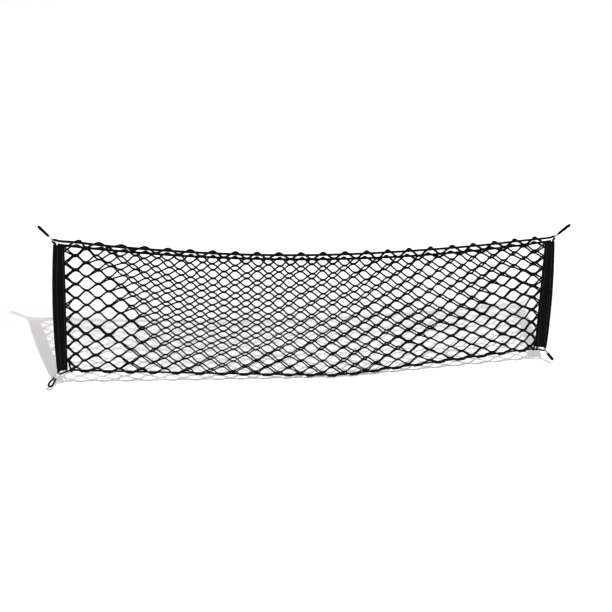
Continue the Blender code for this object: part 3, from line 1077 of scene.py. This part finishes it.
FLOOR_Z = -0.2925
FLOOR_BACK = 1.45
FLOOR_FRONT = -3.0
FLOOR_HALF = 4.0
BACK_HEIGHT = 3.0
BACK_ROUND = 1.0
BACK_STEPS = 16
FADE_FROM = 1.40  # the floor's paint gets darker from here
FADE_TO = 2.45  # to here
KEY_AT = (-0.243, -1.45, 0.375)  # a small light over the camera, which casts the faint shadow
KEY_AIM = (0.037, -0.95, -0.491)
KEY_SIZE = 0.016
KEY_POWER = 23.0
FILL_AT = (-1.0, -1.6, 2.2)
FILL_AIM = (0.0, 0.0, -0.1)
FILL_SIZE = 2.0
FILL_POWER = 1.5
SURROUND = 0.60
SURROUND_COLOUR = (1.0, 0.965, 0.975, 1.0)


def studio(finish):
    """A floor that turns up into a back wall."""
    profile = [(FLOOR_FRONT, FLOOR_Z), (FLOOR_BACK, FLOOR_Z)]
    for k in range(1, BACK_STEPS + 1):
        angle = math.pi / 2 * k / BACK_STEPS
        profile.append((FLOOR_BACK + BACK_ROUND * math.sin(angle),
                        FLOOR_Z + BACK_ROUND * (1 - math.cos(angle))))
    profile.append((FLOOR_BACK + BACK_ROUND, BACK_HEIGHT))
    points = [(side * FLOOR_HALF, y, z) for y, z in profile for side in (-1, 1)]
    index, at_row, at_column = grid_faces(len(profile), 2, False, False, 0)
    coords = np.stack([at_row, at_column], axis=2).reshape(-1, 2)
    add_mesh("studio_floor", points, index.tolist(), coords, finish)


def area_light(name, at, aim, size, power, even=False):
    """A round light. An even one is as bright far away as it is at one metre."""
    data = bpy.data.lights.new(name, "AREA")
    data.shape = "DISK"
    data.size = size
    data.energy = power
    if even:
        data.use_nodes = True
        tree = data.node_tree
        falloff = tree.nodes.new("ShaderNodeLightFalloff")
        falloff.inputs["Strength"].default_value = 1.0
        tree.links.new(falloff.outputs["Constant"], tree.nodes["Emission"].inputs["Strength"])
    made = bpy.data.objects.new(name, data)
    made.location = at
    made.rotation_euler = (Vector(aim) - Vector(at)).to_track_quat("-Z", "Y").to_euler()
    bpy.context.scene.collection.objects.link(made)


def lights():
    area_light("key_light", KEY_AT, KEY_AIM, KEY_SIZE, KEY_POWER, even=True)
    area_light("fill_light", FILL_AT, FILL_AIM, FILL_SIZE, FILL_POWER)
    world = bpy.data.worlds.new("white_surround")
    world.use_nodes = True
    background = world.node_tree.nodes["Background"]
    background.inputs["Color"].default_value = SURROUND_COLOUR
    background.inputs["Strength"].default_value = SURROUND
    bpy.context.scene.world = world
    bpy.context.scene.view_settings.view_transform = "Standard"


def camera():
    data = bpy.data.cameras.new("camera")
    data.sensor_width = SENSOR
    data.lens = SENSOR * FOCAL_PIXELS / PHOTO_SIDE
    made = bpy.data.objects.new("camera", data)
    ahead = Vector((math.sin(CAMERA_YAW) * math.cos(CAMERA_DIP),
                    math.cos(CAMERA_YAW) * math.cos(CAMERA_DIP),
                    -math.sin(CAMERA_DIP)))
    made.location = CAMERA_AT
    made.rotation_euler = ahead.to_track_quat("-Z", "Y").to_euler()
    bpy.context.scene.collection.objects.link(made)
    bpy.context.scene.camera = made


camera()
strand_finish = braid_material("black_elastic_strand", (0.004, 0.004, 0.0045), pitch=0.0028,
                               strands=3, roughness=0.7, relief=0.0003)
cord_finish = braid_material("black_braided_cord", (0.005, 0.005, 0.0055), pitch=0.0036,
                             strands=4, roughness=0.65, relief=0.0003)
thread_finish = braid_material("black_thread", (0.030, 0.030, 0.032), pitch=0.0008,
                               strands=2, roughness=0.5, relief=0.0001, dark=(0.008, 0.008, 0.009))
webbing_finish = webbing_material()
metal_finish = metal_material()
cords(cord_finish)
for layer_name in LAYERS:
    netting(layer_name, strand_finish)
for corner_name, corner_sizes in CORNERS.items():
    corner_loop(corner_name, corner_sizes, cord_finish)
    clip(corner_name, corner_sizes, metal_finish)
for band_name in BANDS:
    webbing = band(band_name, webbing_finish)
    sewing = stitches(band_name, thread_finish)
studio(floor_material())
lights()
